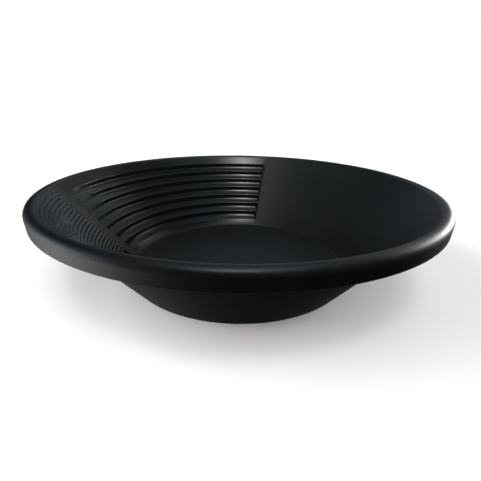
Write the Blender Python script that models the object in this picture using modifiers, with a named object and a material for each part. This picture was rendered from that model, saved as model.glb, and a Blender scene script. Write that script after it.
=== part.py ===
"""Gold pan: one injection-moulded polypropylene dish, in metres, +Z up.

The pan stands on its flat base, with the origin at the middle of the underside. Azimuths run
anticlockwise from +X seen from above, and -Y is the side that faces the person panning. A bank
of coarse riffles and a bank of fine riffles are sunk in the sloping wall, side by side, with a
straight rib of plain wall between them. The rest of the wall is smooth.
"""

import math

import bmesh
import bpy
from mathutils import Matrix, Vector

# Driving dimensions, in metres and degrees
RIM_RADIUS = 0.1905          # a 15 inch pan
HEIGHT = 0.0885
CREASE_RADIUS = 0.1135       # where the floor meets the sloping wall
FLOOR = 0.003                # floor thickness
WALL = 0.0026                # wall thickness, square to the wall
RIM_ROUND = 0.0055           # outside radius of the rim, which the wall runs into
RIM_DROP = 0.0144            # height of the rim, from its crown to its lower edge
BASE_ROUND = 0.0022          # radius of the corner between base and wall

# A bank's top is the slant distance of its highest edge from the floor crease. Each riffle has
# an upright riser, and a tread that rises by its lean in degrees towards the riser's foot. Depths
# are square to the wall. Each end is a straight edge: its heading, and how far it passes to the
# left of the pan's axis as one looks along the heading.
COARSE = {
    "count": 7,
    "pitch": 0.01256,
    "top": 0.0964,
    "lean": 26.0,
    "depth": 0.003,
    "crest": 0.0003,
    "start": (74.7, 0.0089),
    "end": (198.5, -0.0447),
}
FINE = {
    "count": 22,
    "pitch": 0.00397,
    "top": 0.104,
    "lean": 26.0,
    "depth": 0.0009,
    "crest": 0.0001,
    "start": (198.5, -0.0348),
    "end": (288.0, 0.006),
}

TURN_STEPS = 80              # facets round the whole pan
SECTOR_FACET = 5.0           # degrees per facet along a bank of riffles
OUTSIDE_STEPS = 4            # facets on the rim's round, outside its crown
INSIDE_STEPS = 2             # facets on the rim's round, inside its crown
BASE_STEPS = 3               # facets on the corner between base and wall
AIR = 0.004                  # how far a cutter stands clear of the wall, inside the bowl
SHARP = 32.0                 # edges that turn by more than this many degrees stay sharp

# The rim's round is centred here, and the wall rises from the floor crease to touch it
RIM_CENTRE = (RIM_RADIUS - RIM_ROUND, HEIGHT - RIM_ROUND)
ACROSS = RIM_CENTRE[0] - CREASE_RADIUS
UP = RIM_CENTRE[1] - FLOOR
SLOPE = math.atan2(UP, ACROSS) + math.asin(RIM_ROUND / math.hypot(ACROSS, UP))


def wall_point(slant, depth):
    """Point (radius, height) at a slant distance up the inner wall and a depth into it."""
    radius = CREASE_RADIUS + slant * math.cos(SLOPE) + depth * math.sin(SLOPE)
    height = FLOOR + slant * math.sin(SLOPE) - depth * math.cos(SLOPE)
    return radius, height


def on_riser(edge, depth, offset=0.0):
    """Point at a depth on the riser below an edge, or on the upright line an offset outside it."""
    slant = edge + (offset - depth * math.sin(SLOPE)) / math.cos(SLOPE)
    return wall_point(slant, depth)


def on_tread(edge, lean, depth, offset=0.0):
    """Point at a depth on the tread that leans up from an edge, or on the line an offset under it."""
    rise = SLOPE - math.radians(lean)
    slant = edge + (depth * math.cos(rise) - offset) / math.sin(rise)
    return wall_point(slant, depth)


def arc(centre, radius, start, end, steps):
    """Points of an arc in the (radius, height) plane, between two angles in degrees."""
    points = []
    for step in range(steps + 1):
        angle = math.radians(start + (end - start) * step / steps)
        points.append((centre[0] + radius * math.cos(angle), centre[1] + radius * math.sin(angle)))
    return points


def pan_profile():
    """Section of the smooth pan: up the inside, over the rim and down the outside."""
    slope = math.degrees(SLOPE)
    inside = RIM_ROUND - WALL
    lower_edge = HEIGHT - RIM_DROP
    base_corner = (wall_foot(0.0) - BASE_ROUND * math.tan(SLOPE / 2.0), BASE_ROUND)
    points = [(0.0, FLOOR), (CREASE_RADIUS, FLOOR)]
    points += arc(RIM_CENTRE, RIM_ROUND, 90.0 + slope, 90.0, INSIDE_STEPS)
    points += arc(RIM_CENTRE, RIM_ROUND, 90.0, 0.0, OUTSIDE_STEPS)[1:]
    points += [(RIM_RADIUS, lower_edge), (RIM_RADIUS - WALL, lower_edge)]
    points += arc(RIM_CENTRE, inside, 0.0, 90.0, OUTSIDE_STEPS)
    points += arc(RIM_CENTRE, inside, 90.0, 90.0 + slope, INSIDE_STEPS)[1:]
    points += arc(base_corner, BASE_ROUND, slope - 90.0, -90.0, BASE_STEPS)
    points.append((0.0, 0.0))
    return points


def wall_foot(height):
    """Radius of the wall's outer face at a height."""
    slant = (height - FLOOR + WALL * math.cos(SLOPE)) / math.sin(SLOPE)
    return wall_point(slant, WALL)[0]


def groove_section(bank):
    """Outline that cuts a bank: in each groove a riser, a narrow floor and a tread."""
    points = []
    for index in range(bank["count"]):
        high = bank["top"] - index * bank["pitch"]
        low = high - bank["pitch"]
        last = index == bank["count"] - 1
        points.append(on_riser(high, bank["crest"] if index else -AIR))
        points.append(on_riser(high, bank["depth"]))
        points.append(on_tread(low, bank["lean"], bank["depth"]))
        points.append(on_tread(low, bank["lean"], -AIR if last else bank["crest"]))
    return points


def backing_section(bank):
    """Outline of the stepped skin behind a bank, one wall thickness outside its grooves."""
    rise = SLOPE - math.radians(bank["lean"])
    corner = WALL * (1.0 / math.cos(SLOPE) + 1.0 / math.sin(rise))
    corner /= math.tan(SLOPE) + 1.0 / math.tan(rise)
    foot = bank["depth"] + WALL
    points = []
    for index in range(bank["count"]):
        high = bank["top"] - index * bank["pitch"]
        low = high - bank["pitch"]
        last = index == bank["count"] - 1
        if index == 0:
            points.append(on_riser(high, WALL / 2.0, WALL))
        points.append(on_riser(high, foot, WALL))
        points.append(on_tread(low, bank["lean"], foot, WALL))
        points.append(on_tread(low, bank["lean"], WALL / 2.0 if last else corner, WALL))
    return points


def new_object(name, mesh, collection):
    """Object with a mesh, linked to a collection."""
    thing = bpy.data.objects.new(name, mesh)
    collection.objects.link(thing)
    return thing


def turned(name, points, collection):
    """Closed solid turned about Z from an open profile that starts and ends on the axis."""
    mesh = bpy.data.meshes.new(name)
    vertices = [(radius, 0.0, height) for radius, height in points]
    edges = [(index, index + 1) for index in range(len(points) - 1)]
    mesh.from_pydata(vertices, edges, [])
    thing = new_object(name, mesh, collection)
    screw = thing.modifiers.new("turn", "SCREW")
    screw.axis = "Z"
    screw.angle = math.tau
    screw.steps = TURN_STEPS
    screw.render_steps = TURN_STEPS
    screw.use_merge_vertices = True
    screw.merge_threshold = 0.0001
    return thing


def trim(shape, edge, side, margin):
    """Cut a solid along a straight upright edge and cap it, keeping the part on one side."""
    heading = math.radians(edge[0])
    left = Vector((-math.sin(heading), math.cos(heading), 0.0))
    everything = shape.verts[:] + shape.edges[:] + shape.faces[:]
    bmesh.ops.bisect_plane(
        shape,
        geom=everything,
        dist=1e-6,
        plane_co=left * (edge[1] + side * margin),
        plane_no=left * side,
        clear_outer=True,
    )
    rim = [line for line in shape.edges if line.is_boundary]
    bmesh.ops.holes_fill(shape, edges=rim, sides=0)


def sector(name, points, bank, margin, collection):
    """Solid swept about Z from a closed section, between the two straight ends of a bank."""
    shape = bmesh.new()
    spare = 2.0 * SECTOR_FACET
    reach = wall_point(bank["top"], 0.0)[0]
    begin = end_azimuth(bank["start"], reach) - spare
    finish = end_azimuth(bank["end"], reach) + spare
    steps = round((finish - begin) / SECTOR_FACET)
    turn = Matrix.Rotation(math.radians(begin), 3, "Z")
    corners = [shape.verts.new(turn @ Vector((radius, 0.0, height))) for radius, height in points]
    section = shape.faces.new(corners)
    bmesh.ops.spin(
        shape,
        geom=[section],
        cent=(0.0, 0.0, 0.0),
        axis=(0.0, 0.0, 1.0),
        angle=math.radians(finish - begin),
        steps=steps,
    )
    trim(shape, bank["start"], -1.0, margin)
    trim(shape, bank["end"], 1.0, margin)
    bmesh.ops.recalc_face_normals(shape, faces=shape.faces)
    mesh = bpy.data.meshes.new(name)
    shape.to_mesh(mesh)
    shape.free()
    thing = new_object(name, mesh, collection)
    thing.hide_render = True
    thing.display_type = "WIRE"
    return thing


def end_azimuth(edge, radius):
    """Azimuth at which a straight end crosses a circle about the axis."""
    return edge[0] + math.degrees(math.asin(edge[1] / radius))


def combine(body, tool, operation):
    """Add a tool to a body, or cut it away, with a Boolean modifier."""
    boolean = body.modifiers.new(tool.name, "BOOLEAN")
    boolean.operation = operation
    boolean.solver = "EXACT"
    boolean.object = tool


def settle(body):
    """Apply a body's modifiers, and shade its turned faces smooth between sharp edges."""
    bpy.context.view_layer.update()
    evaluated = body.evaluated_get(bpy.context.evaluated_depsgraph_get())
    mesh = bpy.data.meshes.new_from_object(evaluated)
    mesh.name = body.name
    mesh.shade_smooth()
    mesh.set_sharp_from_angle(angle=math.radians(SHARP))
    body.modifiers.clear()
    body.data = mesh


def black_plastic():
    """Black polypropylene with a satin moulded skin."""
    material = bpy.data.materials.new("black_polypropylene")
    material.use_nodes = True
    shader = material.node_tree.nodes["Principled BSDF"]
    shader.inputs["Base Color"].default_value = (0.012, 0.014, 0.015, 1.0)
    shader.inputs["Roughness"].default_value = 0.42
    shader.inputs["Metallic"].default_value = 0.0
    return material


def build():
    """Make the pan."""
    for thing in list(bpy.data.objects):
        bpy.data.objects.remove(thing, do_unlink=True)
    parts = bpy.data.collections.new("gold_pan")
    cutters = bpy.data.collections.new("cutters")
    bpy.context.scene.collection.children.link(parts)
    bpy.context.scene.collection.children.link(cutters)

    pan = turned("pan_body", pan_profile(), parts)
    backing = sector("coarse_backing", backing_section(COARSE), COARSE, WALL, cutters)
    coarse = sector("coarse_grooves", groove_section(COARSE), COARSE, 0.0, cutters)
    fine = sector("fine_grooves", groove_section(FINE), FINE, 0.0, cutters)
    combine(pan, backing, "UNION")
    combine(pan, coarse, "DIFFERENCE")
    combine(pan, fine, "DIFFERENCE")
    settle(pan)
    pan.data.materials.clear()
    pan.data.materials.append(black_plastic())


build()
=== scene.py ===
"""Looks of the gold pan: one finely rounded moulding, black polypropylene, floor, lights and camera.

Metres, +Z up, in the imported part's frame: the pan stands on the floor with its middle at the
origin. Azimuths run anticlockwise from +X seen from above, and the camera looks along +Y.
"""

import math

import bpy
import numpy as np
from mathutils import Matrix, Vector


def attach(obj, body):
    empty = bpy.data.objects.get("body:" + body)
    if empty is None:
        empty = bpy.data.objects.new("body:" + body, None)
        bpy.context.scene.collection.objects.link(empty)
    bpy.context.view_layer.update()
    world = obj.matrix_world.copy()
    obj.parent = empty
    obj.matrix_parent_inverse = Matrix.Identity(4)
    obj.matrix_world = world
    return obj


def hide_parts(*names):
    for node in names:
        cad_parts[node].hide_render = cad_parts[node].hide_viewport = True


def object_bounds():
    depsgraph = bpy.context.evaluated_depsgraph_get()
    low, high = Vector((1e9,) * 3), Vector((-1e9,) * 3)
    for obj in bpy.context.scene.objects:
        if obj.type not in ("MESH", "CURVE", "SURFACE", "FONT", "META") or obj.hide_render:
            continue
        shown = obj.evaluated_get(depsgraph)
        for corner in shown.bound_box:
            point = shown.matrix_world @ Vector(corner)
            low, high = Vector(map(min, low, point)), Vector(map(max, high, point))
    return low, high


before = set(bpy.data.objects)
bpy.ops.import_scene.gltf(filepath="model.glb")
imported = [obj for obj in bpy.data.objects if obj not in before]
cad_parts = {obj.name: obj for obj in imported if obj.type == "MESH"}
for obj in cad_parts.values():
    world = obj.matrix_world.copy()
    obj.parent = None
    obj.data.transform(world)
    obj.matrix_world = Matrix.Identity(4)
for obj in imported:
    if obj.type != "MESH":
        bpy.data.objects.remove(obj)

CAD_LOW, CAD_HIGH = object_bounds()
MM = 0.001

# The pan's driving dimensions, as in the CAD. Each bank also gives the narrow land above each
# riser, the rounding of its edges, the slopes of its two end walls, how far its riffles' ends
# bow out, and its fade: the share of its depth left at its far end, and how far back that
# reaches. The CAD has no fade.
RIM_RADIUS = CAD_HIGH[0]
HEIGHT = CAD_HIGH[2]
CREASE_RADIUS = 113.5 * MM
FLOOR = 3.0 * MM
WALL = 2.6 * MM
RIM_ROUND = 5.5 * MM
RIM_DROP = 14.4 * MM
BASE_ROUND = 2.2 * MM
COARSE = {
    "count": 7,
    "pitch": 12.56 * MM,
    "top": 96.4 * MM,
    "lean": 26.0,
    "depth": 3.0 * MM,
    "land": 0.6 * MM,
    "nose_round": 0.42 * MM,
    "root_round": 0.6 * MM,
    "round_steps": 3,
    "start": (74.7, 8.9 * MM),
    "end": (198.5, -44.7 * MM),
    "start_ramp": 1.08,
    "end_ramp": 2.6,
    "fade": (0.22, 55.0 * MM),
    "finger": 0.0,
}
FINE = {
    "count": 22,
    "pitch": 3.97 * MM,
    "top": 104.0 * MM,
    "lean": 26.0,
    "depth": 0.9 * MM,
    "land": 0.25 * MM,
    "nose_round": 0.25 * MM,
    "root_round": 0.3 * MM,
    "round_steps": 2,
    "start": (198.5, -34.8 * MM),
    "end": (288.0, 6.0 * MM),
    "start_ramp": 1.6,
    "end_ramp": 1.6,
    "fade": (1.0, 10.0 * MM),
    "finger": 1.9 * MM,
}
CREASE_ROUND = 2.4 * MM
LOWER_EDGE_ROUND = 1.3 * MM
LOWER_EDGE_INNER_ROUND = 0.8 * MM
BACKING_CREST_ROUND = 0.8 * MM
BACKING_ROOT_ROUND = 0.9 * MM
FLOOR_ROWS = (0.12, 0.3, 0.5, 0.7, 0.85, 0.94)
BASE_ROWS = (0.95, 0.8, 0.6, 0.4, 0.2)
COARSE_COLUMNS, FINE_COLUMNS, PLAIN_COLUMNS = 44, 32, 50
INNER_ROW_GAP = 4.0 * MM
OUTER_ROW_GAP = 5.0 * MM
# A bank's depth is worked out to this far outside its ends, and its gloss grows over this width
END_MARGIN = 2.0 * MM
GLOSS_EDGE = 1.0 * MM
# Wear of the edges: shortest step counted, the bend that wears fully, and what is taken off
WEAR_STEP, WEAR_REACH, WEAR_LESS = 0.15 * MM, 1.2 * MM, 0.1
# The studio floor's half width, and how far it lies under the pan
STUDIO_REACH, STUDIO_DROP = 60.0, 0.2 * MM
# Gloss of the rim, between the plain wall's 0 and the riffles' 1
RIM_POLISH = 0.35
# The rim's round is centred here, and the wall rises from the floor crease to touch it
RIM_CENTRE = (RIM_RADIUS - RIM_ROUND, HEIGHT - RIM_ROUND)
ACROSS = RIM_CENTRE[0] - CREASE_RADIUS
UP = RIM_CENTRE[1] - FLOOR
SLANT = math.sqrt(ACROSS**2 + UP**2 - RIM_ROUND**2)
SLOPE = math.atan2(UP, ACROSS) + math.atan2(RIM_ROUND, SLANT)
COS, SIN = math.cos(SLOPE), math.sin(SLOPE)

NEUTRAL, COOL = (1.0, 1.0, 1.0), (0.85, 1.02, 1.12)
# What glows in the studio round the pan: name, heading and height above the horizon in degrees,
# tightness (a larger one is a smaller lamp), strength and tint.
STUDIO = (
    ("front_strip", -96, 64, 250, 10.0, NEUTRAL),
    ("front_halo", -90, 65, 100, 5.0, NEUTRAL),
    ("ceiling", -30, 86, 16, 1.3, COOL),
    ("left_panel", 180, 5, 20, 1.9, COOL),
    ("left_bounce", 180, -25, 10, 1.5, NEUTRAL),
    ("back_wall", 90, 30, 20, 0.45, COOL),
    ("back_bounce", 90, -25, 10, 0.5, COOL),
    ("right_wall", 32, 14, 14, 1.5, NEUTRAL),
    ("window", 38, 6, 130, 24.0, NEUTRAL),
    ("window_top", 22, 14, 130, 8.0, NEUTRAL),
)
# Soft suns for the floor: name, heading, height and spread in degrees, strength
FLOOR_SUNS = (
    ("left_sun", 180.0, 25.0, 50.0, 3.8),
    ("front_high_sun", 300.0, 45.0, 50.0, 1.25),
    ("front_low_sun", 300.0, 25.0, 50.0, 1.1),
)


# ---------------------------------------------------------------- section of the wall

def wall_point(slant, depth):
    """(radius, height) at a slant distance up the inner wall and a depth into it."""
    return (
        CREASE_RADIUS + slant * COS + depth * SIN,
        FLOOR + slant * SIN - depth * COS,
    )


def wall_coordinates(radius, height):
    """(slant, depth) of a point of the section."""
    across, up = radius - CREASE_RADIUS, height - FLOOR
    return across * COS + up * SIN, across * SIN - up * COS


def under_tread(edge, lean, depth, offset=0.0):
    """Point at a depth on the line an offset under the tread that leans up from an edge."""
    rise = SLOPE - math.radians(lean)
    return wall_point(edge + (depth * math.cos(rise) - offset) / math.sin(rise), depth)


def behind_riser(edge, depth, offset=0.0):
    """Point at a depth on the upright line an offset outside the riser below an edge."""
    return wall_point(edge + (offset - depth * SIN) / COS, depth)


def rim_arc(radius, start, end, steps):
    """Points of an arc about the centre of the rim's round, between two angles in degrees."""
    points = []
    for step in range(steps + 1):
        angle = math.radians(start + (end - start) * step / steps)
        points.append((
            RIM_CENTRE[0] + radius * math.cos(angle),
            RIM_CENTRE[1] + radius * math.sin(angle),
        ))
    return points


def rounded(corners):
    """Polyline through (point, radius, steps) corners, each replaced by an arc of its radius."""
    points = [corners[0][0]]
    for before, here, after in zip(corners, corners[1:], corners[2:]):
        corner, radius, steps = here
        into = np.subtract(corner, before[0])
        out = np.subtract(after[0], corner)
        reach_in, reach_out = np.linalg.norm(into), np.linalg.norm(out)
        into, out = into / reach_in, out / reach_out
        turn = math.atan2(into[0] * out[1] - into[1] * out[0], float(np.dot(into, out)))
        if radius <= 0.0 or abs(turn) < 1e-4:
            points.append(corner)
            continue
        cut = min(radius * math.tan(abs(turn) / 2.0), 0.49 * reach_in, 0.49 * reach_out)
        radius = cut / math.tan(abs(turn) / 2.0)
        side = math.copysign(1.0, turn)
        first = np.subtract(corner, into * cut)
        centre = first + side * radius * np.array((-into[1], into[0]))
        arm = first - centre
        for step in range(steps + 1):
            angle = turn * step / steps
            spun = (
                arm[0] * math.cos(angle) - arm[1] * math.sin(angle),
                arm[0] * math.sin(angle) + arm[1] * math.cos(angle),
            )
            points.append((centre[0] + spun[0], centre[1] + spun[1]))
    points.append(corners[-1][0])
    return points


def bank_curve(bank):
    """Depth of a bank against slant, as two arrays: treads, floors, risers and narrow lands."""
    steps, deep = bank["round_steps"], bank["depth"]
    corners = [(wall_point(0.0, 0.0), 0.0, 1)]
    for index in range(bank["count"], 0, -1):
        low = bank["top"] - index * bank["pitch"]
        high = low + bank["pitch"]
        if index < bank["count"]:
            low += bank["land"]
        corners.append((wall_point(low, 0.0), bank["nose_round"], steps))
        corners.append((under_tread(low, bank["lean"], deep), bank["root_round"], steps))
        corners.append((behind_riser(high, deep), bank["root_round"], steps))
        corners.append((wall_point(high, 0.0), bank["nose_round"], steps))
    corners.append((wall_point(SLANT, 0.0), 0.0, 1))
    pairs = [wall_coordinates(*point) for point in rounded(corners)]
    return np.array(pairs).T


def backing_curve(bank):
    """Extra depth of the stepped skin behind a bank against slant, as two arrays."""
    foot = bank["depth"] + WALL
    rise = SLOPE - math.radians(bank["lean"])
    crest = WALL * (1.0 / COS + 1.0 / math.sin(rise)) / (SIN / COS + 1.0 / math.tan(rise))
    corners = [(wall_point(0.0, WALL), 0.0, 1)]
    for index in range(bank["count"], 0, -1):
        low = bank["top"] - index * bank["pitch"]
        high = low + bank["pitch"]
        shallow = WALL if index == bank["count"] else crest
        corners.append((under_tread(low, bank["lean"], shallow, WALL), BACKING_CREST_ROUND, 3))
        corners.append((under_tread(low, bank["lean"], foot, WALL), BACKING_ROOT_ROUND, 3))
        corners.append((behind_riser(high, foot, WALL), BACKING_ROOT_ROUND, 3))
    corners.append((behind_riser(bank["top"], WALL, WALL), BACKING_CREST_ROUND, 3))
    corners.append((wall_point(SLANT, WALL), 0.0, 1))
    pairs = [wall_coordinates(*point) for point in rounded(corners)]
    slant, depth = np.array(pairs).T
    return slant, depth - WALL


# ---------------------------------------------------------------- columns round the pan

def left_of(heading):
    """Unit vector to the left of a heading in degrees, seen from above."""
    angle = math.radians(heading)
    return -math.sin(angle), math.cos(angle)


def line_azimuth(edge, inset, radius):
    """Azimuth, in degrees, where a line parallel to a bank's end crosses a circle."""
    return edge[0] + np.degrees(np.arcsin((edge[1] + inset) / radius))


def end_columns(edge, insets):
    """Columns that run parallel to a straight end, one for each distance to its left."""
    return [
        (lambda radius, inset=inset: line_azimuth(edge, inset * MM, radius))
        for inset in insets
    ]


def between(first, last, count, turn=0.0):
    """Columns spread evenly between two columns, the last one turned on by whole turns."""
    found = []
    for step in range(1, count):
        share = step / count
        found.append(
            lambda radius, share=share: (1.0 - share) * first(radius) + share * (last(radius) + turn)
        )
    return found


def all_columns():
    """Every column of the mesh, as functions from radius to azimuth."""
    coarse_start = end_columns(
        COARSE["start"],
        (-2.0, -0.9, -0.45, -0.2, 0.0, 0.25, 0.55, 0.9, 1.3, 1.8, 2.3, 2.8, 3.2, 3.6, 4.2, 5.2),
    )
    rib = end_columns(
        COARSE["end"],
        (-4.5, -3.2, -2.4, -1.8, -1.4, -1.0, -0.7, -0.4, -0.2, 0.0, 0.25, 0.8, 3.0, 5.0, 7.0),
    )
    fine_start = end_columns(
        FINE["start"],
        (-0.8, -0.25, 0.0, 0.2, 0.45, 0.75, 1.05, 1.4, 1.8, 2.2, 2.6, 3.1, 3.8, 4.8),
    )
    fine_end = end_columns(
        FINE["end"],
        (-4.8, -3.8, -3.1, -2.6, -2.2, -1.8, -1.4, -1.05, -0.75, -0.45, -0.2, 0.0, 0.25, 0.8, 2.0),
    )
    found = coarse_start
    found = found + between(coarse_start[-1], rib[0], COARSE_COLUMNS) + rib + fine_start
    found = found + between(fine_start[-1], fine_end[0], FINE_COLUMNS) + fine_end
    return found + between(fine_end[-1], coarse_start[0], PLAIN_COLUMNS, turn=360.0)


def inside_of(bank, x, y):
    """Distances inside a bank's two straight ends."""
    start_left, end_left = left_of(bank["start"][0]), left_of(bank["end"][0])
    from_start = x * start_left[0] + y * start_left[1] - bank["start"][1]
    from_end = bank["end"][1] - x * end_left[0] - y * end_left[1]
    return from_start, from_end


def ramp(inset, slope, blend=0.25 * MM):
    """Depth that an end wall allows at a distance inside it, with a rounded start."""
    return slope * 0.5 * (inset + np.sqrt(inset * inset + blend * blend))


def bank_depth(bank, slant, curve, x, y, spread=0.0):
    """Depth of a bank's surface under the wall, allowing for its ends."""
    from_start, from_end = inside_of(bank, x, y)
    if bank["finger"]:
        place = (bank["top"] - slant) / bank["pitch"]
        across = 2.0 * (place - np.floor(place)) - 1.0
        bow = bank["finger"] * (1.0 - np.sqrt(np.clip(1.0 - across * across, 0.0, 1.0)))
        from_start, from_end = from_start - bow, from_end - bow
    shallow, reach = bank["fade"]
    share = np.clip(from_end / reach, 0.0, 1.0)
    share = shallow + (1.0 - shallow) * share * share * (3.0 - 2.0 * share)
    depth = np.interp(slant, *curve) * share
    depth = np.minimum(depth, ramp(from_start + spread, bank["start_ramp"]))
    depth = np.minimum(depth, ramp(from_end + spread, bank["end_ramp"]))
    inside = (from_start + spread > -END_MARGIN) & (from_end + spread > -END_MARGIN)
    return np.where(inside, depth, 0.0)


# ---------------------------------------------------------------- mesh of the pan

def spaced(values, gap):
    """Sorted values with more added, so that no gap between them is wider than asked."""
    values = sorted(values)
    found = [values[0]]
    for value in values[1:]:
        if value - found[-1] < 0.02 * MM:
            continue
        parts = math.ceil((value - found[-1]) / gap)
        start = found[-1]
        found += [start + (value - start) * part / parts for part in range(1, parts + 1)]
    return np.array(found)


def pan_rows():
    """Rows of the section, from the middle of the floor over the rim to the middle of the base.

    Each row is (radius, height, face, slant). face is "plain", "rim", "inner" or "outer"; the
    last two are points of the wall, where the banks add their depth.
    """
    tangent = CREASE_ROUND * math.tan(SLOPE / 2.0)
    rows = []

    def plain(points):
        rows.extend((radius, height, "plain", 0.0) for radius, height in points)

    floor = rounded([
        ((0.0, FLOOR), 0.0, 1),
        ((CREASE_RADIUS, FLOOR), CREASE_ROUND, 4),
        (wall_point(8.0 * MM, 0.0), 0.0, 1),
    ])
    plain([(share * CREASE_RADIUS, FLOOR) for share in FLOOR_ROWS])
    plain(floor[1:-1])

    inner = np.concatenate((bank_curve(COARSE)[0], bank_curve(FINE)[0]))
    inner = inner[(inner > tangent + 0.3 * MM) & (inner < SLANT - 0.6 * MM)]
    for slant in spaced([*inner, SLANT - 0.4 * MM], INNER_ROW_GAP):
        rows.append((*wall_point(slant, 0.0), "inner", slant))

    slope = math.degrees(SLOPE)
    lower_edge = rounded([
        (RIM_CENTRE, 0.0, 1),
        ((RIM_RADIUS, HEIGHT - RIM_DROP), LOWER_EDGE_ROUND, 5),
        ((RIM_RADIUS - WALL, HEIGHT - RIM_DROP), LOWER_EDGE_INNER_ROUND, 3),
        (RIM_CENTRE, 0.0, 1),
    ])
    rim = rim_arc(RIM_ROUND, 90.0 + slope, 90.0, 7)
    rim += rim_arc(RIM_ROUND, 90.0, 0.0, 11)[1:]
    rim += lower_edge[1:-1]
    rows.extend((radius, height, "rim", 0.0) for radius, height in rim)
    plain(rim_arc(RIM_ROUND - WALL, 0.0, 90.0 + slope, 8))

    base_slant = (WALL * COS - FLOOR) / SIN
    base_tangent = BASE_ROUND * math.tan(SLOPE / 2.0)
    outer = backing_curve(COARSE)[0]
    lowest = base_slant + base_tangent + 0.5 * MM
    outer = outer[(outer > lowest) & (outer < SLANT - 0.5 * MM)]
    outer = spaced([lowest, *outer, SLANT - 0.6 * MM], OUTER_ROW_GAP)
    for slant in outer[::-1]:
        rows.append((*wall_point(slant, WALL), "outer", slant))

    base = rounded([
        (wall_point(base_slant + 8.0 * MM, WALL), 0.0, 1),
        (wall_point(base_slant, WALL), BASE_ROUND, 5),
        ((0.0, 0.0), 0.0, 1),
    ])
    plain(base[1:-1])
    base_edge = base[-2][0]
    plain([(share * base_edge, 0.0) for share in BASE_ROWS])
    return rows


def pan_mesh():
    """The whole pan as one closed mesh, with each vertex's zone and edge wear stored on it."""
    rows, columns = pan_rows(), all_columns()
    coarse, fine, backing = bank_curve(COARSE), bank_curve(FINE), backing_curve(COARSE)
    grid = np.zeros((len(rows), len(columns), 3))
    polish = np.zeros((len(rows), len(columns)))
    for number, (radius, height, face, slant) in enumerate(rows):
        held = min(max(radius, CREASE_RADIUS), wall_point(SLANT, 0.0)[0])
        azimuth = np.radians([column(held) for column in columns])
        x, y = held * np.cos(azimuth), held * np.sin(azimuth)
        depth = np.zeros(len(columns))
        if face == "inner":
            depth = bank_depth(COARSE, slant, coarse, x, y) + bank_depth(FINE, slant, fine, x, y)
        elif face == "outer":
            depth = bank_depth(COARSE, slant, backing, x, y, spread=WALL)
        if face == "inner":
            for bank in (COARSE, FINE):
                inset = np.minimum(*inside_of(bank, x, y))
                polish[number] = np.maximum(polish[number], np.clip(inset / GLOSS_EDGE, 0.0, 1.0))
        elif face == "rim":
            polish[number] = RIM_POLISH
        grid[number, :, 0] = (radius + depth * SIN) * np.cos(azimuth)
        grid[number, :, 1] = (radius + depth * SIN) * np.sin(azimuth)
        grid[number, :, 2] = height - depth * COS

    count, around = grid.shape[:2]
    vertices = [tuple(point) for point in grid.reshape(-1, 3)]
    vertices += [(0.0, 0.0, FLOOR), (0.0, 0.0, 0.0)]
    top, bottom = count * around, count * around + 1
    faces = []
    for turn in range(around):
        ahead = (turn + 1) % around
        faces.append((top, turn, ahead))
        faces.append(((count - 1) * around + turn, bottom, (count - 1) * around + ahead))
        for row in range(count - 1):
            low, high = row * around, (row + 1) * around
            faces.append((low + turn, high + turn, high + ahead, low + ahead))
    mesh = bpy.data.meshes.new("gold_pan")
    mesh.from_pydata(vertices, [], faces)
    mesh.shade_smooth()
    values = np.append(polish.reshape(-1), (0.0, 0.0))
    mesh.attributes.new("polish", "FLOAT", "POINT").data.foreach_set("value", values)
    mesh.attributes.new("edge", "FLOAT", "POINT").data.foreach_set("value", edge_wear(mesh, grid))
    mesh.update()
    return mesh


def edge_wear(mesh, grid):
    """How strongly each vertex sits on an outward edge, from 0 to 1."""
    normals = np.zeros(len(mesh.vertices) * 3)
    mesh.vertices.foreach_get("normal", normals)
    count, around = grid.shape[:2]
    normals = normals.reshape(-1, 3)[: count * around].reshape(count, around, 3)
    bend = np.zeros((count, around))
    for step in (-1, 1):
        near = grid[np.clip(np.arange(count) + step, 0, count - 1)]
        gap = grid - near
        length = np.maximum((gap**2).sum(axis=2), WEAR_STEP**2)
        bend += (gap * normals).sum(axis=2) / length
    wear = np.clip(bend * WEAR_REACH - WEAR_LESS, 0.0, 1.0)
    return np.append(wear.reshape(-1), (0.0, 0.0))


# ---------------------------------------------------------------- materials

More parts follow.
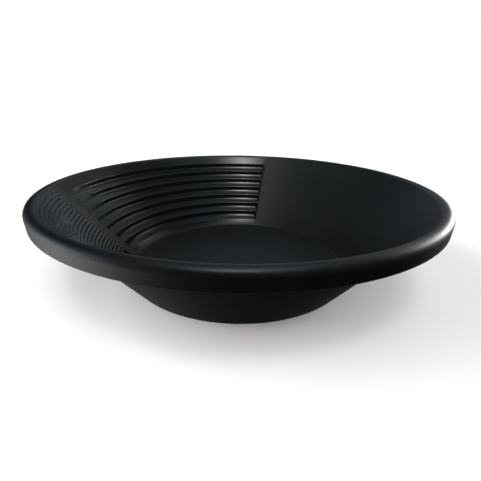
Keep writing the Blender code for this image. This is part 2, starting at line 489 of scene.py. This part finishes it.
class Nodes:
    """Short ways to add nodes to a node tree and join them."""

    # A Mix node has a socket of each name for each data type; these are its colour ones
    FIRST_COLOUR, SECOND_COLOUR, MIXED_COLOUR = 6, 7, 2

    def __init__(self, tree):
        self.tree = tree

    def add(self, kind, **settings):
        """A node with its properties set."""
        node = self.tree.nodes.new(kind)
        for name, value in settings.items():
            setattr(node, name, value)
        return node

    def feed(self, socket, value):
        """Set a socket to a number, or join another socket to it."""
        if isinstance(value, bpy.types.NodeSocket):
            self.tree.links.new(value, socket)
        else:
            socket.default_value = value

    def math(self, operation, first, second=0.0, third=0.0, clamp=False):
        """Result of a Math node."""
        node = self.add("ShaderNodeMath", operation=operation, use_clamp=clamp)
        for socket, value in zip(node.inputs, (first, second, third)):
            self.feed(socket, value)
        return node.outputs[0]

    def vector(self, operation, first, second):
        """Result of a Vector Math node: a number for a dot product, else a vector."""
        node = self.add("ShaderNodeVectorMath", operation=operation)
        self.feed(node.inputs[0], first)
        self.feed(node.inputs[1], second)
        return node.outputs["Value" if operation == "DOT_PRODUCT" else "Vector"]

    def noise(self, where, scale, detail=3.0, roughness=0.55):
        """Value of a noise texture, scale in cells per metre."""
        node = self.add("ShaderNodeTexNoise")
        self.feed(node.inputs["Vector"], where)
        self.feed(node.inputs["Scale"], scale)
        self.feed(node.inputs["Detail"], detail)
        self.feed(node.inputs["Roughness"], roughness)
        return node.outputs["Fac"]

    def remap(self, value, low, high, new_low=0.0, new_high=1.0):
        """A value moved smoothly from one range to another."""
        node = self.add("ShaderNodeMapRange", interpolation_type="SMOOTHSTEP")
        for name, number in zip(
            ("Value", "From Min", "From Max", "To Min", "To Max"),
            (value, low, high, new_low, new_high),
        ):
            self.feed(node.inputs[name], number)
        return node.outputs["Result"]

    def mix(self, share, first, second):
        """Colour mixed from two."""
        node = self.add("ShaderNodeMix", data_type="RGBA")
        self.feed(node.inputs["Factor"], share)
        self.feed(node.inputs[self.FIRST_COLOUR], first)
        self.feed(node.inputs[self.SECOND_COLOUR], second)
        return node.outputs[self.MIXED_COLOUR]


def plastic_material():
    """Black polypropylene: satin moulded skin, glossier riffles and rim, and paler worn edges."""
    material = bpy.data.materials.new("black_polypropylene_look")
    material.use_nodes = True
    tree = material.node_tree
    nodes = Nodes(tree)
    shader = tree.nodes["Principled BSDF"]
    where = nodes.add("ShaderNodeTexCoord").outputs["Object"]
    polish = nodes.add("ShaderNodeAttribute", attribute_name="polish").outputs["Fac"]
    edge = nodes.add("ShaderNodeAttribute", attribute_name="edge").outputs["Fac"]

    cloud = nodes.noise(where, 16.0, 4.0)
    patch = nodes.noise(where, 75.0, 3.0)
    grain = nodes.noise(where, 1700.0, 2.0)
    ripple = nodes.noise(where, 55.0, 1.0)

    rough_wall = nodes.remap(cloud, 0.3, 0.7, 0.44, 0.50)
    rough_bank = nodes.remap(patch, 0.3, 0.7, 0.14, 0.19)
    gain = nodes.math("SUBTRACT", rough_bank, rough_wall)
    rough = nodes.math("MULTIPLY_ADD", polish, gain, rough_wall)
    rough = nodes.math("MULTIPLY_ADD", edge, -0.05, rough)
    nodes.feed(shader.inputs["Roughness"], rough)

    dark, pale, worn = (0.0030, 0.0035, 0.0038, 1), (0.0040, 0.0046, 0.0050, 1), (0.010, 0.011, 0.012, 1)
    plain = nodes.mix(nodes.remap(cloud, 0.35, 0.65), dark, pale)
    nodes.feed(shader.inputs["Base Color"], nodes.mix(nodes.math("MULTIPLY", edge, 0.5), plain, worn))

    bump = nodes.add("ShaderNodeBump")
    bump.inputs["Strength"].default_value = 0.25
    bump.inputs["Distance"].default_value = 0.00006
    grain_share = nodes.math("MULTIPLY_ADD", polish, -0.85, 1.0)
    nodes.feed(bump.inputs["Height"], nodes.math("MULTIPLY", grain, grain_share))
    wave = nodes.add("ShaderNodeBump")
    wave.inputs["Strength"].default_value = 0.5
    wave.inputs["Distance"].default_value = 0.00008
    nodes.feed(wave.inputs["Height"], ripple)
    nodes.feed(wave.inputs["Normal"], bump.outputs["Normal"])
    nodes.feed(shader.inputs["Normal"], wave.outputs["Normal"])
    shader.inputs["IOR"].default_value = 1.49
    return material


def floor_material():
    """Pale matt studio floor."""
    material = bpy.data.materials.new("studio_floor")
    material.use_nodes = True
    nodes = Nodes(material.node_tree)
    shader = material.node_tree.nodes["Principled BSDF"]
    where = nodes.add("ShaderNodeTexCoord").outputs["Object"]
    dark, pale = (0.915, 0.895, 0.875, 1), (0.925, 0.905, 0.885, 1)
    nodes.feed(shader.inputs["Base Color"], nodes.mix(nodes.noise(where, 3.0, 2.0), dark, pale))
    shader.inputs["Roughness"].default_value = 0.9
    shader.inputs["Specular IOR Level"].default_value = 0.1
    return material


# ---------------------------------------------------------------- stage

def make_pan():
    """The pan's visual piece."""
    pan = bpy.data.objects.new("gold_pan", pan_mesh())
    bpy.context.scene.collection.objects.link(pan)
    pan.data.materials.append(plastic_material())
    even = pan.modifiers.new("even_shading", "WEIGHTED_NORMAL")
    even.mode = "FACE_AREA"
    even.weight = 60
    even.keep_sharp = False
    return pan


def make_floor():
    """A wide floor just under the pan, which only the camera and the suns see."""
    mesh = bpy.data.meshes.new("studio_floor")
    signs = ((-1, -1), (1, -1), (1, 1), (-1, 1))
    corners = [(across * STUDIO_REACH, along * STUDIO_REACH, 0.0) for across, along in signs]
    mesh.from_pydata(corners, [], [(0, 1, 2, 3)])
    floor = bpy.data.objects.new("studio_floor", mesh)
    bpy.context.scene.collection.objects.link(floor)
    floor.location.z = -STUDIO_DROP
    mesh.materials.append(floor_material())
    floor.visible_glossy = False
    floor.visible_diffuse = False
    floor.visible_shadow = False
    return floor


def aim(thing, direction):
    """Turn a light or camera so that its -Z looks along a direction."""
    thing.rotation_euler = Vector(direction).to_track_quat("-Z", "Y").to_euler()


def direction(heading, height):
    """Unit vector towards a heading and a height above the horizon, both in degrees."""
    turn, rise = math.radians(heading), math.radians(height)
    return Vector((
        math.cos(turn) * math.cos(rise),
        math.sin(turn) * math.cos(rise),
        math.sin(rise),
    ))


def make_lights():
    """Soft suns that light the floor. Their glare is kept out of the pan's gloss."""
    for name, heading, height, spread, strength in FLOOR_SUNS:
        data = bpy.data.lights.new(name, "SUN")
        data.energy = strength
        data.angle = math.radians(spread)
        sun = bpy.data.objects.new(name, data)
        bpy.context.scene.collection.objects.link(sun)
        aim(sun, -direction(heading, height))
        sun.visible_glossy = False


def make_world():
    """Dark studio with soft glowing panels round the pan, and a white backdrop behind it."""
    world = bpy.data.worlds.new("studio")
    bpy.context.scene.world = world
    world.use_nodes = True
    tree = world.node_tree
    nodes = Nodes(tree)
    back = tree.nodes["Background"]
    where = nodes.add("ShaderNodeTexCoord").outputs["Generated"]
    total = None
    for name, heading, height, tightness, strength, tint in STUDIO:
        facing = nodes.vector("DOT_PRODUCT", where, direction(heading, height))
        fall = nodes.math("MULTIPLY", nodes.math("SUBTRACT", facing, 1.0), tightness)
        colour = nodes.add("ShaderNodeCombineXYZ", label=name)
        for socket, share in zip(colour.inputs, tint):
            socket.default_value = strength * share
        glow = nodes.add("ShaderNodeVectorMath", operation="SCALE")
        nodes.feed(glow.inputs[0], colour.outputs[0])
        nodes.feed(glow.inputs["Scale"], nodes.math("EXPONENT", fall))
        total = glow.outputs[0] if total is None else nodes.vector("ADD", total, glow.outputs[0])
    seen = nodes.add("ShaderNodeLightPath").outputs["Is Camera Ray"]
    nodes.feed(back.inputs["Color"], nodes.mix(seen, total, (1.0, 1.0, 1.0, 1.0)))
    back.inputs["Strength"].default_value = 1.0


def make_camera():
    """Camera in front of the pan, looking down at it."""
    place = Vector((0.0, -1.7863 * RIM_RADIUS, 0.8734 * RIM_RADIUS))
    pan_angle, tilt, roll = 0.0043, 0.3928, 0.0147
    focal, frame_width, sensor = 339.216, 481.0, 36.0
    forward = Vector((
        math.sin(pan_angle) * math.cos(tilt),
        math.cos(pan_angle) * math.cos(tilt),
        -math.sin(tilt),
    ))
    flat_right = Vector((math.cos(pan_angle), -math.sin(pan_angle), 0.0))
    flat_up = flat_right.cross(forward)
    right = flat_right * math.cos(roll) + flat_up * math.sin(roll)
    up = flat_up * math.cos(roll) - flat_right * math.sin(roll)
    data = bpy.data.cameras.new("photo_camera")
    data.sensor_width = sensor
    data.lens = focal / frame_width * sensor
    data.clip_start, data.clip_end = 0.01, 200.0
    camera = bpy.data.objects.new("photo_camera", data)
    bpy.context.scene.collection.objects.link(camera)
    turn = Matrix((right, up, -forward)).transposed()
    camera.matrix_world = Matrix.Translation(place) @ turn.to_4x4()
    bpy.context.scene.camera = camera


make_camera()
make_world()
make_lights()
bpy.context.scene.view_settings.view_transform = "Standard"
make_floor()

pan = make_pan()
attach(pan, "root")
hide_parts("pan_body")
